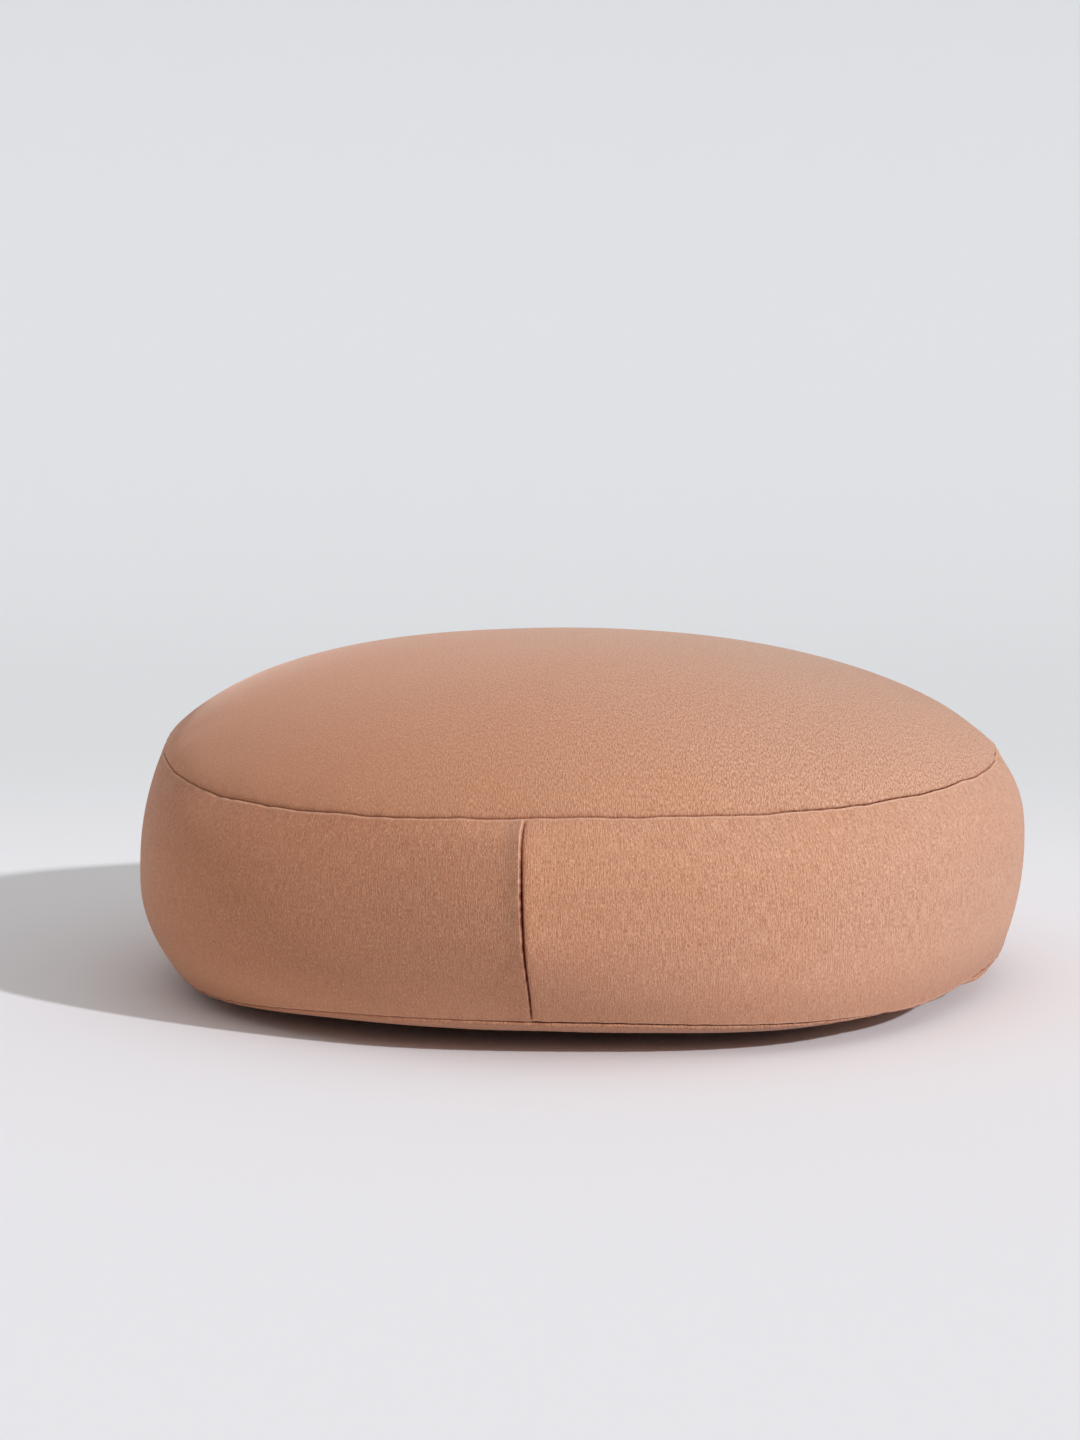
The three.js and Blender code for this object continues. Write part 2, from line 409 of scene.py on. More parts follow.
cloth = trial.modifiers.new("cloth", "CLOTH")
cloth.settings.effector_weights.gravity = 0
cloth.settings.use_pressure = True
cloth.settings.uniform_pressure_force = PRESSURE
cloth.settings.vertex_group_mass = "held"
cloth.settings.quality = SIM_QUALITY
cloth.collision_settings.use_collision = False
rest = np.array([vertex.co[:] for vertex in even_mesh.vertices]) / MM
for frame_number in range(1, SIM_FRAMES + 1):
    bpy.context.scene.frame_set(frame_number)
evaluated = trial.evaluated_get(bpy.context.evaluated_depsgraph_get())
moved = np.array([vertex.co[:] for vertex in evaluated.data.vertices]) / MM
move = moved - rest
size = np.linalg.norm(move, axis=1, keepdims=True)
move *= np.minimum(1, MOVE_CAP / np.maximum(size, NO_LENGTH))
print("pressure moved the cloth", round(float(size.mean()), 2), "mm on average")

cells = KDTree(len(rest))
for index, place in enumerate(rest):
    cells.insert(place, index)
cells.balance()
flat_form = start_form.reshape(-1, 3)
flat_normals = normals.reshape(-1, 3)
push = np.zeros(len(flat_form))
for index, place in enumerate(flat_form):
    near = cells.find_n(place, CELLS_ASKED)
    weights = np.array([1 / (distance + SIM_VOXEL) for _, _, distance in near])
    chosen = move[[number for _, number, _ in near]]
    push[index] = (chosen @ flat_normals[index]) @ weights / weights.sum()
push = push.reshape(form.shape[:2])
push += PROUD - push.mean()
form = form + push[:, :, None] * normals
bpy.context.scene.frame_set(1)
bpy.data.objects.remove(trial)

# The sewn seams
# Each seam pulls two cloths in to a thin crevice between rounded turned edges. It is pulled
# hardest at the right front, and the bottom one hardly shows to the left of the band's join.
# This is the section across a seam: the distance from it, and how far the cloth stands out.
SEAM_AWAY = (0, 0.18, 0.4, 0.7, 1.1, 1.6, 2.3, 3.2, 4.4, 6.0)
SEAM_OUT = (-1.0, -0.45, 0.0, 0.2, 0.26, 0.28, 0.2, 0.1, 0.04, 0)
LEAST_LIP = 0.5
TOP_PULL = {"least": 0.38, "more": 0.52, "azimuth": 318, "width": 26}
LOW_PULL = {"least": 0.3, "more": 0.25, "azimuth": JOIN_AZIMUTH, "width": 7}
WEAK_PULL_REACH = 260
TUCKED_SEAM_SHIFT = 3
TUCKED_SEAM_WIDTH = TUCK_WIDTH + 3
TUCKED_SEAM_SLACK = 0.9


def pull_round(pull):
    """How hard a seam is pulled round the cushion, as a share of the full pull."""
    return pull["least"] + pull["more"] * hump(lines, pull["azimuth"], pull["width"])


left_of_join = (across_join < 0) & (across_join > -WEAK_PULL_REACH)
tucked_seam = hump(lines, TUCK_AZIMUTH + TUCKED_SEAM_SHIFT, TUCKED_SEAM_WIDTH)
top_pull = pull_round(TOP_PULL)
low_pull = np.where(left_of_join, pull_round(LOW_PULL), 1.0) * (1 - TUCKED_SEAM_SLACK * tucked_seam)

# Painted shade in each seam's crevice and on the disc just beside it, and a painted highlight
# along each seam's turned edge on the band
CREVICE_SHADE = 1.3
CREVICE_WIDTH = 0.3
DISC_EDGE_SHADE = 0.22
DISC_EDGE_WIDTH = 1.3
TURNED_EDGE_HIGHLIGHT = 1.5
TURNED_EDGE_PLACE = 0.75
TURNED_EDGE_WIDTH = 0.35
LOW_EDGE_HIGHLIGHT = 0.6
LOW_EDGE_WIDTH = TUCK_WIDTH + 4

# The band's two ends are lapped, left over right: a turned edge stands up over a deep crevice.
# The lap is highest up to half way down, and it is sewn flat towards the bottom seam.
JOIN_ACROSS = (-14, -9, -6, -4, -2.4, -1.4, -0.8, -0.45, -0.24, -0.1,
               0.12, 0.35, 0.65, 1.0, 1.8, 3, 5, 9, 14)
JOIN_OUT = (0, 0.12, 0.4, 0.8, 1.2, 1.45, 1.6, 1.65, 1.5, -0.7,
            -1.8, -1.6, -0.8, 0, 0.4, 0.5, 0.4, 0.15, 0)
LAP_DOWN = (0, 0.12, 0.28, 0.5, 0.7, 1)
LAP_HEIGHT = (1, 1, 1, 0.75, 0.45, 0.2)
LAP_DEPTH = (0.35, 0.5, 1, 1, 0.8, 0.5)
LAP_FROM_SEAM = (0.3, 2.5)
# Painted shade in the lap's crevice, and a painted highlight along its lip
JOIN_SHADE = 2
JOIN_SHADE_PLACE = 0.25
JOIN_SHADE_WIDTH = 0.5
LIP_HIGHLIGHT_PLACE = -0.3
LIP_HIGHLIGHT_WIDTH = 0.2

# Creases where the filling is thin, low on the right, with their lean in degrees
CREASE_REACH = 30
CREASES = (
    {"azimuth": 333.0, "height": 14.8, "length": 36, "lean": 5, "width": 0.75, "depth": 0.55},
    {"azimuth": 336.0, "height": 12.4, "length": 32, "lean": 6, "width": 0.75, "depth": 0.6},
    {"azimuth": 338.0, "height": 18.2, "length": 26, "lean": 8, "width": 0.8, "depth": 0.45},
    {"azimuth": 317.5, "height": 14.5, "length": 9, "lean": 50, "width": 0.9, "depth": 0.6},
)

# Small puckers of the top seam: the azimuth and width, and how far the cloth is pushed in and up.
# A fine ripple runs along both seams, in waves like the wander's.
TOP_PUCKERS = (
    {"azimuth": 331.5, "width": 2.0, "inward": -0.3, "up": 0.35},
    {"azimuth": 344.0, "width": 2.5, "inward": 0.4, "up": -0.4},
    {"azimuth": 354.5, "width": 2.2, "inward": 1.2, "up": -0.3},
    {"azimuth": 1.0, "width": 2.4, "inward": -0.8, "up": 0.3},
)
PUCKER_REACH = 4.5
RIPPLE = ((101, 0.09, 0.4), (139, 0.07, 2.0))

# The bottom seam hangs lowest at the right front and rises behind a pinched corner
SAG = {"azimuth": 316, "width": 10, "reach": 7, "down": 1.1}
LOW_PUCKERS = (
    {"azimuth": 316, "width": 10, "out": -0.9},
    {"azimuth": 336.5, "width": 4.5, "out": 1.1},
    {"azimuth": 329, "width": 2.5, "out": -0.6},
)
LOW_PUCKER_PLACE = 2.5
LOW_PUCKER_WIDTH = 2.2

raised = np.zeros(form.shape[:2])
crevice = np.zeros(form.shape[:2])
edge_highlight = np.zeros(form.shape[:2])
join_out = np.interp(across_join, JOIN_ACROSS, JOIN_OUT, left=0, right=0)
for index, ring in enumerate(rings):
    from_top, from_low = ring["from_top_seam"], ring["from_low_seam"]
    on_top_seam = from_top < from_low
    from_seam = min(from_top, from_low)
    pull = top_pull if on_top_seam else low_pull
    seam_out = np.interp(from_seam, SEAM_AWAY, SEAM_OUT)
    raised[index] += seam_out * (pull if seam_out < 0 else LEAST_LIP + (1 - LEAST_LIP) * pull)
    raised[index] += waves(RIPPLE, lines) * bell(from_seam, PUCKER_REACH)
    # Painted shade in the seam's crevice, and a little on the disc beside it
    crevice[index] = CREVICE_SHADE * pull * bell(from_seam, CREVICE_WIDTH)
    if ring["panel"] == "top":
        crevice[index] += DISC_EDGE_SHADE * bell(from_seam, DISC_EDGE_WIDTH) * (1 - math.exp(-from_seam))
    if ring["panel"] == "band":
        edge_pull = pull
        if not on_top_seam:
            edge_pull = LOW_EDGE_HIGHLIGHT * np.maximum(pull, hump(lines, TUCK_AZIMUTH, LOW_EDGE_WIDTH))
        # A painted highlight along the turned edge beside the seam
        edge = TURNED_EDGE_HIGHLIGHT * edge_pull * bell(from_seam - TURNED_EDGE_PLACE, TURNED_EDGE_WIDTH)
        settle = float(ease_between(*LAP_FROM_SEAM, from_seam))
        lift = settle * np.interp(ring["down"], LAP_DOWN, LAP_HEIGHT)
        depth = settle * np.interp(ring["down"], LAP_DOWN, LAP_DEPTH)
        raised[index] += np.where(join_out > 0, lift, depth) * join_out
        join_shade = JOIN_SHADE * depth * bell(across_join - JOIN_SHADE_PLACE, JOIN_SHADE_WIDTH)
        crevice[index] = np.maximum(crevice[index], join_shade)
        # The painted highlight of the turned edges and of the lap's lip
        edge_highlight[index] = np.maximum(edge, lift**2 * bell(across_join - LIP_HIGHLIGHT_PLACE, LIP_HIGHLIGHT_WIDTH))
    for pucker in TOP_PUCKERS:
        share = hump(lines, pucker["azimuth"], pucker["width"]) * bell(from_top, PUCKER_REACH)
        raised[index] -= pucker["inward"] * share
        form[index, :, 2] += pucker["up"] * share
    sag = hump(lines, SAG["azimuth"], SAG["width"]) * bell(from_low, SAG["reach"])
    form[index, :, 2] -= SAG["down"] * sag
    if ring["panel"] == "bottom":
        below = bell(from_low - LOW_PUCKER_PLACE, LOW_PUCKER_WIDTH)
        for pucker in LOW_PUCKERS:
            raised[index] += pucker["out"] * hump(lines, pucker["azimuth"], pucker["width"]) * below
    if on_top_seam or from_low > CREASE_REACH:
        continue
    for crease in CREASES:
        aside = (lines - crease["azimuth"]) * MM_PER_DEGREE
        up = form[index, :, 2] - crease["height"]
        lean = math.radians(crease["lean"])
        along = aside * math.cos(lean) + up * math.sin(lean)
        off = -aside * math.sin(lean) + up * math.cos(lean)
        raised[index] -= crease["depth"] * bell(along, crease["length"] / 2) * bell(off, crease["width"])

normals = outward(form)
form = form + raised[:, :, None] * normals
form[:, :, 2] = np.maximum(form[:, :, 2], 0)

cushion_mesh = grid_mesh("round cushion", form)
cushion_mesh.shade_smooth()
cushion = bpy.data.objects.new("round_cushion", cushion_mesh)
bpy.context.scene.collection.objects.link(cushion)

# Each face's place on the cut cloth in metres: on the round discs from their middles, and on the
# band's strip from its left end, a metre away from the discs
BAND_SHIFT = 1000
BOTTOM_SHIFT = -1000


def disc_places(cut, angles, shift):
    turn = np.radians(angles)
    return np.stack([shift + cut * np.cos(turn), cut * np.sin(turn)], axis=-1)


def strip_places(cut, angles, shift):
    return np.stack([angles * MM_PER_DEGREE, np.full_like(angles, shift + cut)], axis=-1)


def face_places(place_of, corners, shift):
    """The places of a row of faces' corners, each given by its cut and its lines."""
    return np.stack([place_of(cut, angles, shift) for cut, angles in corners], axis=1).reshape(-1, 2)


next_lines = np.append(lines[1:], lines[0] + 360)
first_cut, last_cut = rings[0]["cut"], rings[-1]["cut"]
top_corners = ((0, lines), (first_cut, lines), (first_cut, next_lines))
bottom_corners = ((last_cut, lines), (0, lines), (last_cut, next_lines))
places = [face_places(disc_places, top_corners, 0)]
for index in range(len(rings) - 1):
    upper_cut, lower_cut = rings[index]["cut"], rings[index + 1]["cut"]
    place_of, shift = disc_places, 0
    if index == seam_row - 1:
        lower_cut = top_cut
    if index == low_seam_row:
        upper_cut = bottom_cut
    if index >= seam_row:
        place_of, shift = strip_places, BAND_SHIFT
    if index >= low_seam_row:
        place_of, shift = disc_places, BOTTOM_SHIFT
    corners = ((upper_cut, lines), (lower_cut, lines), (lower_cut, next_lines), (upper_cut, next_lines))
    places.append(face_places(place_of, corners, shift))
places.append(face_places(disc_places, bottom_corners, BOTTOM_SHIFT))
cut_layer = cushion_mesh.uv_layers.new(name="cut cloth")
cut_layer.data.foreach_set("uv", (np.concatenate(places) * MM).astype(np.float32).reshape(-1))

# The painted seam shade and the painted highlights, kept on the mesh for the cloth's colour
for name, values in (("crevice", crevice), ("turned edge", edge_highlight)):
    layer = cushion_mesh.attributes.new(name, "FLOAT", "POINT")
    layer.data.foreach_set("value", np.concatenate([[0], values.reshape(-1), [0]]).astype(np.float32))


def linear(hex_colour):
    """An sRGB hex colour as linear red, green, blue and alpha."""
    parts = [int(hex_colour[start:start + 2], 16) / 255 for start in (1, 3, 5)]
    light = [part / 12.92 if part <= 0.04045 else ((part + 0.055) / 1.055) ** 2.4 for part in parts]
    return light + [1.0]


def add_node(tree, kind, inputs=None, **settings):
    """Adds one node, sets what it is given and links what is a socket."""
    node = tree.nodes.new(kind)
    for name, value in settings.items():
        setattr(node, name, value)
    for name, value in (inputs or {}).items():
        if isinstance(value, bpy.types.NodeSocket):
            tree.links.new(value, node.inputs[name])
        else:
            node.inputs[name].default_value = value
    return node


# Plain-woven cotton and linen blend, piece dyed terracotta pink: matt, with a crepe-like grain of
# raised uneven threads that run up the band. Its real threads are 0.3 mm and too fine to show, so
# the slubs are drawn one and a half to two times as coarse. Small pale flecks are painted
# highlights of single fibres catching the light.
SLUB_WIDTH_MM = 0.44
SLUB_LENGTH_MM = 1.5
DISC_SLUB_WIDTH_MM = 0.58
DISC_SLUB_LENGTH_MM = 1.9
GRAIN_MM = 0.5
GRAIN_SHARE = 0.3
STREAK_WIDTH_MM = 0.5
STREAK_LENGTH_MM = 7
STREAK_SHARE = 0.34
THREAD_RELIEF_MM = 0.45
DISC_RELIEF = 1.2
THREAD_LOW = 0.36
THREAD_HIGH = 0.64
NOISE_ROUGHNESS = 0.55
CLOTH_ROUGHNESS = 0.8
CLOTH_SPECULAR = 0.35
SHEEN = 0.95
SHEEN_ROUGHNESS = 0.4
SHEEN_TINT = "#f3dcd0"
# The threads' colours: shaded and raised copies, painted shade and light of the weave's relief,
# and paler copies of both, painted light on the lit right side, so the shaded left stays deepest
SHADED_THREAD = "#a9694a"
RAISED_THREAD = "#d19169"
LIT_SIDE_SHADED_THREAD = "#a87559"
LIT_SIDE_RAISED_THREAD = "#d3a387"
LIT_SIDE_FROM = -0.15
LIT_SIDE_TO = 0.14
LIT_SIDE_LEAST = 0.1
PATCH_MM = 60
PATCH_LOW = 0.3
PATCH_HIGH = 0.7
PATCH_LEAST = 0.85
PATCH_MOST = 1.15
# The nap, pressed smoother on the left and low down
PRESSED_FROM = -0.17
PRESSED_TO = 0.1
PRESSED_BAND = 0.6
PRESSED_DISC = 0.12
PRESSED_SHEEN = 0.35
RUBBED_UP_TO = 0.055
RUBBED_LOW = 0.4
RIGHT_EDGE_FROM = 0.1
RIGHT_EDGE_TO = 0.2
RIGHT_EDGE_SHEEN = 0.5
# The left of the band: how pale its pressed threads are in all, with painted shade high under the
# top seam and painted light along its lower edge
LEFT_BAND_FROM = -0.09
LEFT_BAND_TO = -0.01
PRESSED_SHARE = 0.5
HIGH_SHADE_END = 0.0
HIGH_SHADE_FROM = 0.065
HIGH_SHADE_TO = 0.095
LOW_LEFT_PAINTED_LIGHT = 0.5
PALER_FROM = 0.018
PALER_TO = 0.032
# The right of the band's lower edge: painted shade, darker towards the bottom
LOW_RIGHT_SHADE_SHARE = 0.3
LOW_RIGHT_SHADE_FROM = 0.008
LOW_RIGHT_SHADE_TO = 0.032
LOW_RIGHT_SHADE_RIGHT_FROM = 0.02
LOW_RIGHT_SHADE_RIGHT_TO = 0.09
# Painted highlights of single lit fibres and of turned edges, and painted shade in the crevices,
# which is darker where a crevice opens a little between two stitches
FLECK_MM = 0.5
FLECK_LENGTH_MM = 1.0
FLECK_LOW = 0.68
FLECK_HIGH = 0.8
FIBRE_HIGHLIGHT_SHARE = 0.4
PAINTED_FIBRE_HIGHLIGHT = "#f3d3bd"
EDGE_HIGHLIGHT_SHARE = 0.6
PAINTED_EDGE_HIGHLIGHT = "#f4c8ac"
STITCH_PITCH_MM = 3
GAP_LOW = 0.3
GAP_HIGH = 0.7
GAP_LEAST = 0.5
NO_SHEEN_FROM = 0.5
# The colour of the painted shade in the crevices and at the band's low right edge
PAINTED_SHADE_COLOUR = "#6a290d"

woven = bpy.data.materials.new("dyed plain-woven cloth")
woven.use_nodes = True
tree = woven.node_tree
tree.nodes.clear()
cut = add_node(tree, "ShaderNodeUVMap", uv_map="cut cloth")
cut_parts = add_node(tree, "ShaderNodeSeparateXYZ", {"Vector": cut.outputs[0]})
on_band = add_node(tree, "ShaderNodeMath",
                   {0: cut_parts.outputs["Y"], 1: BAND_SHIFT * MM / 2}, operation="GREATER_THAN")


def cloth_noise(width_mm, length_mm, detail, distortion):
    """Noise on the cut cloth with cells of that width and length."""
    scale = (1 / (width_mm * MM), 1 / (length_mm * MM), 1)
    place = add_node(tree, "ShaderNodeMapping", {"Vector": cut.outputs[0], "Scale": scale})
    noise = add_node(tree, "ShaderNodeTexNoise",
                     {"Vector": place.outputs[0], "Scale": 1.0, "Detail": detail,
                      "Roughness": NOISE_ROUGHNESS, "Distortion": distortion})
    return noise.outputs[0]


band_slub = cloth_noise(SLUB_WIDTH_MM, SLUB_LENGTH_MM, 0.0, 0.1)
disc_slub = cloth_noise(DISC_SLUB_WIDTH_MM, DISC_SLUB_LENGTH_MM, 0.0, 0.3)
grain = cloth_noise(GRAIN_MM, GRAIN_MM, 0.0, 0.5)
streak = cloth_noise(STREAK_WIDTH_MM, STREAK_LENGTH_MM, 0.0, 0.1)
patch = cloth_noise(PATCH_MM, PATCH_MM, 2.0, 0.0)
fleck = cloth_noise(FLECK_MM, FLECK_LENGTH_MM, 0.0, 0.0)
slub = add_node(tree, "ShaderNodeMix", {"Factor": on_band.outputs[0], "A": disc_slub, "B": band_slub})
threads = add_node(tree, "ShaderNodeMix", {"Factor": GRAIN_SHARE, "A": slub.outputs[0], "B": grain})
streak_share = add_node(tree, "ShaderNodeMath",
                        {0: on_band.outputs[0], 1: STREAK_SHARE}, operation="MULTIPLY")
relief = add_node(tree, "ShaderNodeMix",
                  {"Factor": streak_share.outputs[0], "A": threads.outputs[0], "B": streak})
# The nap is pressed smoother on the left, and the taut discs show their threads more
cloth_place = add_node(tree, "ShaderNodeTexCoord")
cloth_parts = add_node(tree, "ShaderNodeSeparateXYZ", {"Vector": cloth_place.outputs["Object"]})
across = cloth_parts.outputs["X"]
height = cloth_parts.outputs["Z"]
pressed_band = add_node(tree, "ShaderNodeMapRange",
                        {"Value": across, "From Min": PRESSED_FROM, "From Max": PRESSED_TO,
                         "To Min": PRESSED_BAND})
pressed_disc = add_node(tree, "ShaderNodeMapRange",
                        {"Value": across, "From Min": PRESSED_FROM, "From Max": PRESSED_TO,
                         "To Min": PRESSED_DISC})
rubbed = add_node(tree, "ShaderNodeMapRange",
                  {"Value": height, "From Max": RUBBED_UP_TO, "To Min": RUBBED_LOW})
rubbed_band = add_node(tree, "ShaderNodeMath",
                       {0: pressed_band.outputs[0], 1: rubbed.outputs[0]}, operation="MULTIPLY")
pressed = add_node(tree, "ShaderNodeMix",
                   {"Factor": on_band.outputs[0], "A": pressed_disc.outputs[0],
                    "B": rubbed_band.outputs[0]})
raised_share = add_node(tree, "ShaderNodeMapRange",
                        {"Value": relief.outputs[0], "From Min": THREAD_LOW, "From Max": THREAD_HIGH})
# On the left the band has painted shade under the top seam and painted light along its lower edge
painted_light_low = add_node(tree, "ShaderNodeMapRange",
                     {"Value": height, "From Min": PALER_FROM, "From Max": PALER_TO,
                      "To Min": LOW_LEFT_PAINTED_LIGHT, "To Max": 0.0})
painted_shade_high = add_node(tree, "ShaderNodeMapRange",
                       {"Value": height, "From Min": HIGH_SHADE_FROM, "From Max": HIGH_SHADE_TO,
                        "To Min": PRESSED_SHARE, "To Max": HIGH_SHADE_END})
on_left = add_node(tree, "ShaderNodeMapRange",
                   {"Value": across, "From Min": LEFT_BAND_FROM, "From Max": LEFT_BAND_TO,
                    "To Min": 1.0, "To Max": 0.0})
left_band = add_node(tree, "ShaderNodeMath",
                     {0: on_left.outputs[0], 1: on_band.outputs[0]}, operation="MULTIPLY")
light_and_shade_down = add_node(tree, "ShaderNodeMath",
                    {0: painted_light_low.outputs[0], 1: painted_shade_high.outputs[0]}, operation="ADD")
flat_share = add_node(tree, "ShaderNodeMix",
                      {"Factor": left_band.outputs[0], "A": PRESSED_SHARE, "B": light_and_shade_down.outputs[0]})
thread_share = add_node(tree, "ShaderNodeMix",
                        {"Factor": pressed.outputs[0], "A": flat_share.outputs[0],
                         "B": raised_share.outputs[0]})
# Shaded and raised threads, painted shade and light of the relief, and their paler lit copies
shaded_side_colour = add_node(tree, "ShaderNodeMix",
                    {"Factor": thread_share.outputs[0], "A": linear(SHADED_THREAD),
                     "B": linear(RAISED_THREAD)}, data_type="RGBA")
lit_side_colour = add_node(tree, "ShaderNodeMix",
                     {"Factor": thread_share.outputs[0], "A": linear(LIT_SIDE_SHADED_THREAD),
                      "B": linear(LIT_SIDE_RAISED_THREAD)}, data_type="RGBA")
# Painted light: the colour turns paler towards the lit right side, unevenly in random patches,
# so the shaded left stays deepest
to_right = add_node(tree, "ShaderNodeMapRange",
                    {"Value": across, "From Min": LIT_SIDE_FROM, "From Max": LIT_SIDE_TO,
                     "To Min": LIT_SIDE_LEAST})
patchy = add_node(tree, "ShaderNodeMapRange",
                  {"Value": patch, "From Min": PATCH_LOW, "From Max": PATCH_HIGH,
                   "To Min": PATCH_LEAST, "To Max": PATCH_MOST})
lit_side_share = add_node(tree, "ShaderNodeMath",
                 {0: to_right.outputs[0], 1: patchy.outputs[0]}, operation="MULTIPLY", use_clamp=True)
side_light_colour = add_node(tree, "ShaderNodeMix",
                       {"Factor": lit_side_share.outputs[0], "A": shaded_side_colour.outputs["Result"],
                        "B": lit_side_colour.outputs["Result"]}, data_type="RGBA")
# Painted highlights of single fibres catching the light
fibre_highlight_share = add_node(tree, "ShaderNodeMapRange",
                       {"Value": fleck, "From Min": FLECK_LOW, "From Max": FLECK_HIGH,
                        "To Max": FIBRE_HIGHLIGHT_SHARE})
fibre_highlight_colour = add_node(tree, "ShaderNodeMix",
                        {"Factor": fibre_highlight_share.outputs[0], "A": side_light_colour.outputs["Result"],
                         "B": linear(PAINTED_FIBRE_HIGHLIGHT)}, data_type="RGBA")
# Painted highlights along the turned edges and the lap's lip
turned = add_node(tree, "ShaderNodeAttribute", attribute_name="turned edge")
edge_highlight_share = add_node(tree, "ShaderNodeMath",
                      {0: turned.outputs["Fac"], 1: EDGE_HIGHLIGHT_SHARE}, operation="MULTIPLY", use_clamp=True)
edge_highlight_colour = add_node(tree, "ShaderNodeMix",
                       {"Factor": edge_highlight_share.outputs[0], "A": fibre_highlight_colour.outputs["Result"],
                        "B": linear(PAINTED_EDGE_HIGHLIGHT)}, data_type="RGBA")
# Painted shade in the crevices, darker where a crevice opens a little between two stitches
gap = cloth_noise(STITCH_PITCH_MM, STITCH_PITCH_MM, 0.0, 0.0)
crevice_shade_unevenness = add_node(tree, "ShaderNodeMapRange",
                     {"Value": gap, "From Min": GAP_LOW, "From Max": GAP_HIGH,
                      "To Min": GAP_LEAST, "To Max": 1.0})
crevice_shade_attribute = add_node(tree, "ShaderNodeAttribute", attribute_name="crevice")
deep = add_node(tree, "ShaderNodeMath",
                {0: crevice_shade_attribute.outputs["Fac"], 1: crevice_shade_unevenness.outputs[0]},
                operation="MULTIPLY", use_clamp=True)
# Painted shade: the band's lower right edge turns a little darker towards the bottom
low_shade_height = add_node(tree, "ShaderNodeMapRange",
                       {"Value": height, "From Min": LOW_RIGHT_SHADE_FROM, "From Max": LOW_RIGHT_SHADE_TO,
                        "To Min": LOW_RIGHT_SHADE_SHARE, "To Max": 0.0})
low_shade_right = add_node(tree, "ShaderNodeMapRange",
                         {"Value": across, "From Min": LOW_RIGHT_SHADE_RIGHT_FROM,
                          "From Max": LOW_RIGHT_SHADE_RIGHT_TO})
low_right_shade = add_node(tree, "ShaderNodeMath",
                   {0: low_shade_height.outputs[0], 1: low_shade_right.outputs[0]}, operation="MULTIPLY")
# The painted shade of the crevices and of the band's low right edge
darkest = add_node(tree, "ShaderNodeMath",
                   {0: deep.outputs[0], 1: low_right_shade.outputs[0]}, operation="MAXIMUM")
cloth_colour = add_node(tree, "ShaderNodeMix",
                        {"Factor": darkest.outputs[0], "A": edge_highlight_colour.outputs["Result"],
                         "B": linear(PAINTED_SHADE_COLOUR)}, data_type="RGBA")
disc_relief = add_node(tree, "ShaderNodeMapRange",
                       {"Value": on_band.outputs[0], "To Min": DISC_RELIEF, "To Max": 1.0})
relief_height = add_node(tree, "ShaderNodeMath",
                         {0: pressed.outputs[0], 1: disc_relief.outputs[0]}, operation="MULTIPLY")
full_relief = add_node(tree, "ShaderNodeMath",
                       {0: relief.outputs[0], 1: relief_height.outputs[0]}, operation="MULTIPLY")
bump = add_node(tree, "ShaderNodeBump",
                {"Height": full_relief.outputs[0], "Strength": 1.0,
                 "Distance": THREAD_RELIEF_MM * MM})
# The nap's sheen is least where it is pressed or rubbed, on the right edge and in the crevices
nap = add_node(tree, "ShaderNodeMapRange",
               {"Value": across, "From Min": PRESSED_FROM, "From Max": PRESSED_TO,
                "To Min": PRESSED_SHEEN * SHEEN, "To Max": SHEEN})
rubbed_nap = add_node(tree, "ShaderNodeMath",
                      {0: nap.outputs[0], 1: rubbed.outputs[0]}, operation="MULTIPLY")
right_edge = add_node(tree, "ShaderNodeMapRange",
                      {"Value": across, "From Min": RIGHT_EDGE_FROM, "From Max": RIGHT_EDGE_TO,
                       "To Min": 1.0, "To Max": RIGHT_EDGE_SHEEN})
edge_nap = add_node(tree, "ShaderNodeMath",
                    {0: rubbed_nap.outputs[0], 1: right_edge.outputs[0]}, operation="MULTIPLY")
sheen = add_node(tree, "ShaderNodeMapRange",
                 {"Value": crevice_shade_attribute.outputs["Fac"], "From Max": NO_SHEEN_FROM,
                  "To Min": edge_nap.outputs[0], "To Max": 0.0})
surface = add_node(tree, "ShaderNodeBsdfPrincipled",
                   {"Base Color": cloth_colour.outputs["Result"], "Roughness": CLOTH_ROUGHNESS,
                    "Specular IOR Level": CLOTH_SPECULAR, "Sheen Weight": sheen.outputs[0],
                    "Sheen Roughness": SHEEN_ROUGHNESS, "Sheen Tint": linear(SHEEN_TINT),
                    "Normal": bump.outputs[0]})
add_node(tree, "ShaderNodeOutputMaterial", {"Surface": surface.outputs[0]})
cushion_mesh.materials.append(woven)

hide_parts("cushion")
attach(cushion, "root")

# The stitches
# Dyed sewing thread holds both seams and the band's join. Only short bars of it show, deep in
# the crevices, where the pull of the filling opens the seam a little.
STITCH_LENGTH_MM = 0.8
THREAD_MM = 0.28
STITCH_PROUD_MM = 0.22
STITCH_SUNK_SHARE = 1.5
STITCH_UNEVENNESS = 0.25
STITCH_SEED = 7
STITCH_SEGMENTS = 6
STITCH_RINGS = 4
RINGS_BESIDE = 2
LINES_BESIDE = 3
ROWS_LEFT_OUT = 8

path_points = []
path_edges = []
path_across = []


def add_path(points, across, closed):
    """One sewn line: its points in mm, and the direction in which its stitches lie."""
    start = len(path_points)
    path_points.extend((points * MM).tolist())
    path_across.extend((across / np.linalg.norm(across, axis=1, keepdims=True)).tolist())
    path_edges.extend((start + number, start + number + 1) for number in range(len(points) - 1))
    if closed:
        path_edges.append((start + len(points) - 1, start))


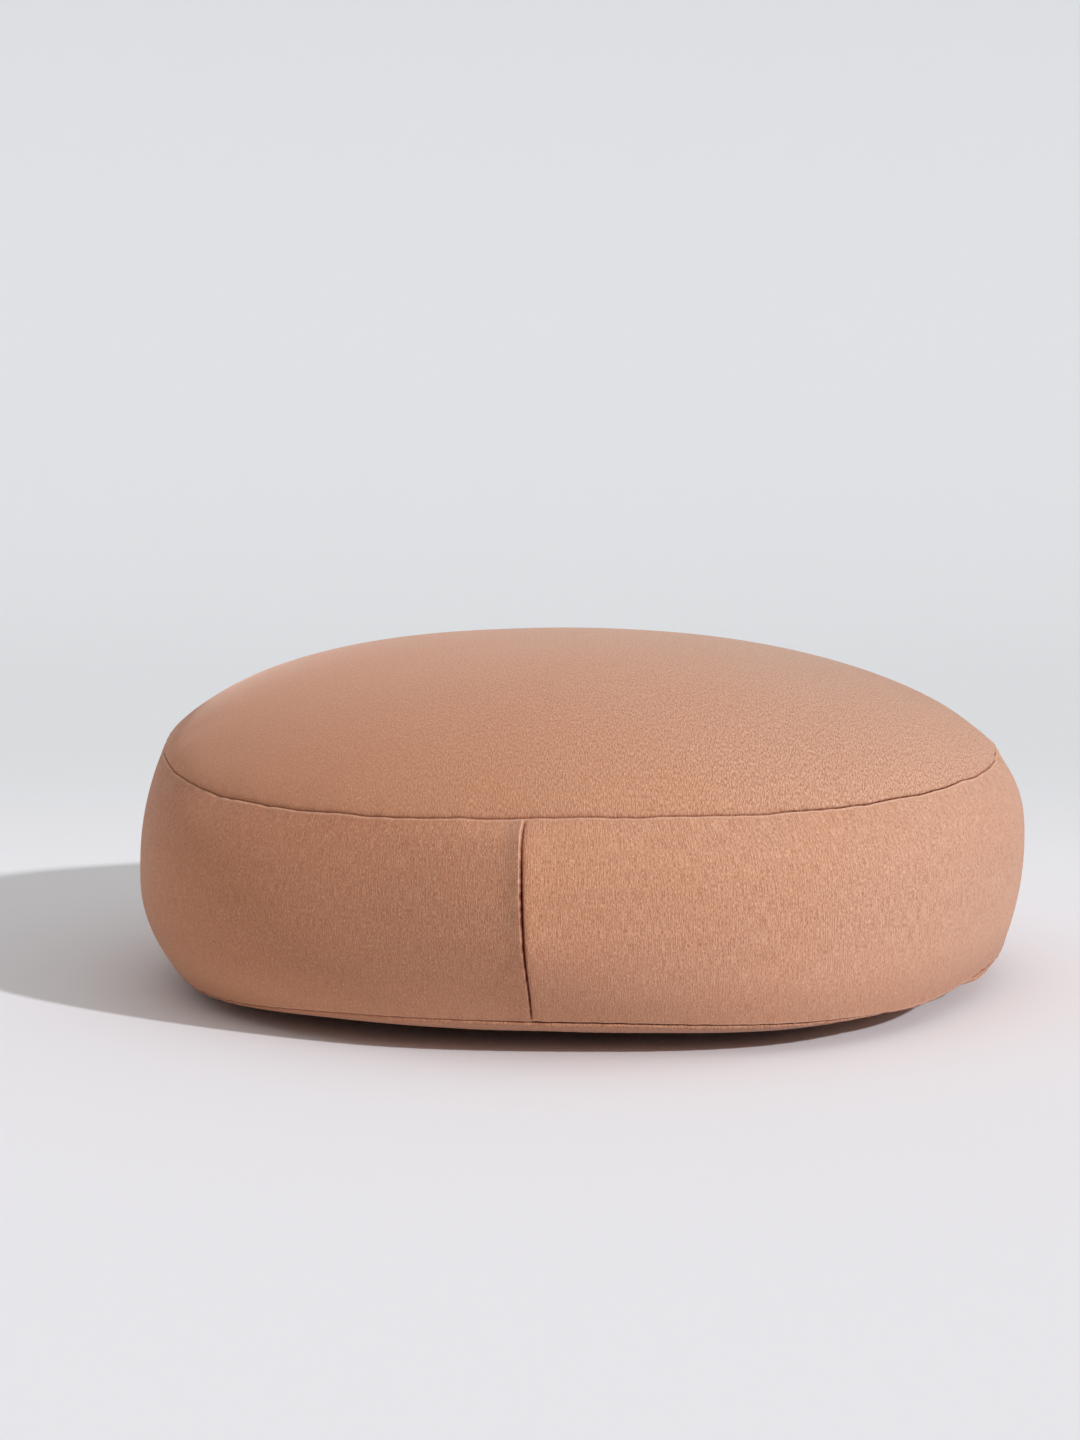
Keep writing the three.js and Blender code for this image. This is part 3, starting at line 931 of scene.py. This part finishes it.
sunk = STITCH_SUNK_SHARE * tucked_seam[:, None]
for row in (seam_row, low_seam_row):
    proud = STITCH_PROUD_MM * (1 - (sunk if row == low_seam_row else 0))
    across = form[row - RINGS_BESIDE] - form[row + RINGS_BESIDE]
    add_path(form[row] + proud * normals[row], across, True)
join_rows = slice(seam_row + ROWS_LEFT_OUT, low_seam_row - ROWS_LEFT_OUT)
across = form[join_rows, LINES_BESIDE] - form[join_rows, -LINES_BESIDE]
add_path(form[join_rows, 0] + STITCH_PROUD_MM * normals[join_rows, 0], across, False)
path_mesh = bpy.data.meshes.new("sewn lines")
path_mesh.from_pydata(path_points, path_edges, [])
across_layer = path_mesh.attributes.new("across the seam", "FLOAT_VECTOR", "POINT")
across_layer.data.foreach_set("vector", np.array(path_across, np.float32).reshape(-1))
stitches = bpy.data.objects.new("seam_stitches", path_mesh)
bpy.context.scene.collection.objects.link(stitches)

# Polyester sewing thread, twisted and dyed to match: smooth, with a slight silky shine
TWIST_MM = 0.4
THREAD_SHADE = "#9c6249"
THREAD_LIGHT = "#c08163"
THREAD_ROUGHNESS = 0.55
THREAD_SHEEN = 0.2
thread = bpy.data.materials.new("dyed polyester sewing thread")
thread.use_nodes = True
thread_tree = thread.node_tree
thread_surface = thread_tree.nodes["Principled BSDF"]
thread_place = add_node(thread_tree, "ShaderNodeTexCoord")
thread_noise = add_node(thread_tree, "ShaderNodeTexNoise",
                        {"Vector": thread_place.outputs["Object"], "Scale": 1 / (TWIST_MM * MM),
                         "Detail": 1.0})
thread_mix = add_node(thread_tree, "ShaderNodeMix",
                      {"Factor": thread_noise.outputs[0], "A": linear(THREAD_SHADE),
                       "B": linear(THREAD_LIGHT)}, data_type="RGBA")
thread_tree.links.new(thread_mix.outputs["Result"], thread_surface.inputs["Base Color"])
thread_surface.inputs["Roughness"].default_value = THREAD_ROUGHNESS
thread_surface.inputs["Sheen Weight"].default_value = THREAD_SHEEN

stitching = bpy.data.node_groups.new("stitches along a sewn line", "GeometryNodeTree")
stitching.is_modifier = True
stitching.interface.new_socket("Geometry", in_out="OUTPUT", socket_type="NodeSocketGeometry")
stitching.interface.new_socket("Geometry", in_out="INPUT", socket_type="NodeSocketGeometry")
sizes = {"Stitch pitch": STITCH_PITCH_MM * MM, "Stitch length": STITCH_LENGTH_MM * MM,
         "Thread diameter": THREAD_MM * MM, "Unevenness": STITCH_UNEVENNESS}
size_sockets = {name: stitching.interface.new_socket(name, in_out="INPUT", socket_type="NodeSocketFloat")
                for name in sizes}
given = add_node(stitching, "NodeGroupInput")
sewn_line = add_node(stitching, "GeometryNodeMeshToCurve", {"Mesh": given.outputs["Geometry"]})
places_along = add_node(stitching, "GeometryNodeResampleCurve",
                        {"Curve": sewn_line.outputs["Curve"], "Length": given.outputs["Stitch pitch"]},
                        mode="LENGTH")
bar = add_node(stitching, "GeometryNodeMeshUVSphere",
               {"Segments": STITCH_SEGMENTS, "Rings": STITCH_RINGS, "Radius": 0.5})
bar_size = add_node(stitching, "ShaderNodeCombineXYZ",
                    {"X": given.outputs["Stitch length"], "Y": given.outputs["Thread diameter"],
                     "Z": given.outputs["Thread diameter"]})
thread_bar = add_node(stitching, "GeometryNodeTransform",
                      {"Geometry": bar.outputs["Mesh"], "Scale": bar_size.outputs[0]})
lie = add_node(stitching, "GeometryNodeInputNamedAttribute", {"Name": "across the seam"},
               data_type="FLOAT_VECTOR")
turn_to = add_node(stitching, "FunctionNodeAlignRotationToVector",
                   {"Vector": lie.outputs["Attribute"]}, axis="X")
least = add_node(stitching, "ShaderNodeMath",
                 {0: 1.0, 1: given.outputs["Unevenness"]}, operation="SUBTRACT")
uneven = add_node(stitching, "FunctionNodeRandomValue",
                  {"Min": least.outputs[0], "Max": 1.0, "Seed": STITCH_SEED}, data_type="FLOAT")
sewn = add_node(stitching, "GeometryNodeInstanceOnPoints",
                {"Points": places_along.outputs["Curve"], "Instance": thread_bar.outputs["Geometry"],
                 "Rotation": turn_to.outputs["Rotation"], "Scale": uneven.outputs["Value"]})
real = add_node(stitching, "GeometryNodeRealizeInstances", {"Geometry": sewn.outputs["Instances"]})
finished = add_node(stitching, "GeometryNodeSetMaterial",
                    {"Geometry": real.outputs["Geometry"], "Material": thread})
add_node(stitching, "NodeGroupOutput", {"Geometry": finished.outputs["Geometry"]})

sewing = stitches.modifiers.new("sewing", "NODES")
sewing.node_group = stitching
for name, size in sizes.items():
    sewing[size_sockets[name].identifier] = size
evaluated = stitches.evaluated_get(bpy.context.evaluated_depsgraph_get())
stitch_mesh = bpy.data.meshes.new_from_object(evaluated)
stitches.modifiers.remove(sewing)
stitches.data = stitch_mesh
stitch_mesh.shade_smooth()
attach(stitches, "root")

# Floor and backdrop
# One wide roll of paper, flat under the cushion and curving up far behind it. Its colour is
# palest at the front and turns a little greyer from just behind the cushion.
SWEEP_WIDTH = 9.0
SWEEP_FRONT = -4.0
CURVE_START = 1.2
CURVE_RADIUS = 1.6
CURVE_STEPS = 16
WALL_TOP = 5.0
PALE_PAPER = "#e7e6ea"
GREYER_PAPER = "#d9dbdd"
GREYER_FROM = 0.12
GREYER_TO = 0.75
profile = [(SWEEP_FRONT, 0.0), (CURVE_START, 0.0)]
for step in range(1, CURVE_STEPS + 1):
    turn = step / CURVE_STEPS * math.pi / 2
    profile.append((CURVE_START + CURVE_RADIUS * math.sin(turn), CURVE_RADIUS * (1 - math.cos(turn))))
profile.append((CURVE_START + CURVE_RADIUS, WALL_TOP))
sweep_points = [(side * SWEEP_WIDTH / 2, y, z) for y, z in profile for side in (-1, 1)]
sweep_faces = [(2 * n, 2 * n + 1, 2 * n + 3, 2 * n + 2) for n in range(len(profile) - 1)]
sweep_mesh = bpy.data.meshes.new("pale sweep")
sweep_mesh.from_pydata(sweep_points, [], sweep_faces)
sweep_mesh.shade_smooth()
sweep = bpy.data.objects.new("pale_sweep", sweep_mesh)
bpy.context.scene.collection.objects.link(sweep)
paper = bpy.data.materials.new("matt greying paper")
paper.use_nodes = True
paper_tree = paper.node_tree
paper_place = add_node(paper_tree, "ShaderNodeTexCoord")
paper_parts = add_node(paper_tree, "ShaderNodeSeparateXYZ", {"Vector": paper_place.outputs["Object"]})
paper_share = add_node(paper_tree, "ShaderNodeMapRange",
                       {"Value": paper_parts.outputs["Y"], "From Min": GREYER_FROM,
                        "From Max": GREYER_TO}, interpolation_type="SMOOTHSTEP")
paper_colour = add_node(paper_tree, "ShaderNodeMix",
                        {"Factor": paper_share.outputs[0], "A": linear(PALE_PAPER),
                         "B": linear(GREYER_PAPER)}, data_type="RGBA")
paper_surface = paper_tree.nodes["Principled BSDF"]
paper_tree.links.new(paper_colour.outputs["Result"], paper_surface.inputs["Base Color"])
paper_surface.inputs["Roughness"].default_value = 1.0
paper_surface.inputs["Specular IOR Level"].default_value = 0.0
sweep_mesh.materials.append(paper)
sweep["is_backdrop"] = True

# Lights
# A fairly hard key from the front right, which throws the shadow to the left. The room gives
# soft light from above and from both sides, and none from the dark side where the camera stands.
KEY_AZIMUTH = -36
KEY_ELEVATION = 29.5
KEY_STRENGTH = 2.5
KEY_ANGLE = 2.5
KEY_COLOUR = "#fbfbff"
ROOM_COLOUR = "#fffefa"
ROOM_ABOVE = 0.91
ROOM_LEFT = 0.4
ROOM_RIGHT = 0.6
ROOM_FALL_OFF = 2.0
key_data = bpy.data.lights.new("key", "SUN")
key_data.energy = KEY_STRENGTH
key_data.angle = math.radians(KEY_ANGLE)
key_data.color = linear(KEY_COLOUR)[:3]
key = bpy.data.objects.new("key", key_data)
turn = math.radians(KEY_AZIMUTH)
rise = math.radians(KEY_ELEVATION)
to_key = Vector((math.cos(turn) * math.cos(rise), math.sin(turn) * math.cos(rise), math.sin(rise)))
key.rotation_euler = to_key.to_track_quat("Z", "Y").to_euler()
bpy.context.scene.collection.objects.link(key)

room = bpy.data.worlds.new("soft studio")
room.use_nodes = True
room_tree = room.node_tree
room_place = add_node(room_tree, "ShaderNodeTexCoord")
room_parts = add_node(room_tree, "ShaderNodeSeparateXYZ", {"Vector": room_place.outputs["Generated"]})
light_sum = None
for axis, side, strength in (("Z", 1, ROOM_ABOVE), ("X", -1, ROOM_LEFT), ("X", 1, ROOM_RIGHT)):
    facing = add_node(room_tree, "ShaderNodeMath", {0: room_parts.outputs[axis], 1: side},
                      operation="MULTIPLY", use_clamp=True)
    fallen = add_node(room_tree, "ShaderNodeMath",
                      {0: facing.outputs[0], 1: ROOM_FALL_OFF}, operation="POWER")
    light = add_node(room_tree, "ShaderNodeMath",
                     {0: fallen.outputs[0], 1: strength}, operation="MULTIPLY")
    if light_sum is not None:
        light = add_node(room_tree, "ShaderNodeMath",
                         {0: light.outputs[0], 1: light_sum}, operation="ADD")
    light_sum = light.outputs[0]
background = room_tree.nodes["Background"]
background.inputs["Color"].default_value = linear(ROOM_COLOUR)
room_tree.links.new(light_sum, background.inputs["Strength"])
bpy.context.scene.world = room
bpy.context.scene.view_settings.view_transform = "Standard"

# Camera, in front and a little above, as the photograph sees the cushion
FRAME_HEIGHT_PX = 1440
FOCAL_LENGTH_PX = 3354
SENSOR_MM = 36
CAMERA_PLACE = (-0.020, -1.497, 0.3088)
CAMERA_PITCH = 0.1295
camera_data = bpy.data.cameras.new("camera")
camera_data.sensor_width = SENSOR_MM
camera_data.lens = FOCAL_LENGTH_PX / FRAME_HEIGHT_PX * SENSOR_MM
camera = bpy.data.objects.new("camera", camera_data)
camera.location = CAMERA_PLACE
camera.rotation_euler = (math.pi / 2 - CAMERA_PITCH, 0, 0)
bpy.context.scene.collection.objects.link(camera)
bpy.context.scene.camera = camera

corners = {"cad": [list(corner) for corner in cad_box], "visual": [list(corner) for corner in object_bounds()]}
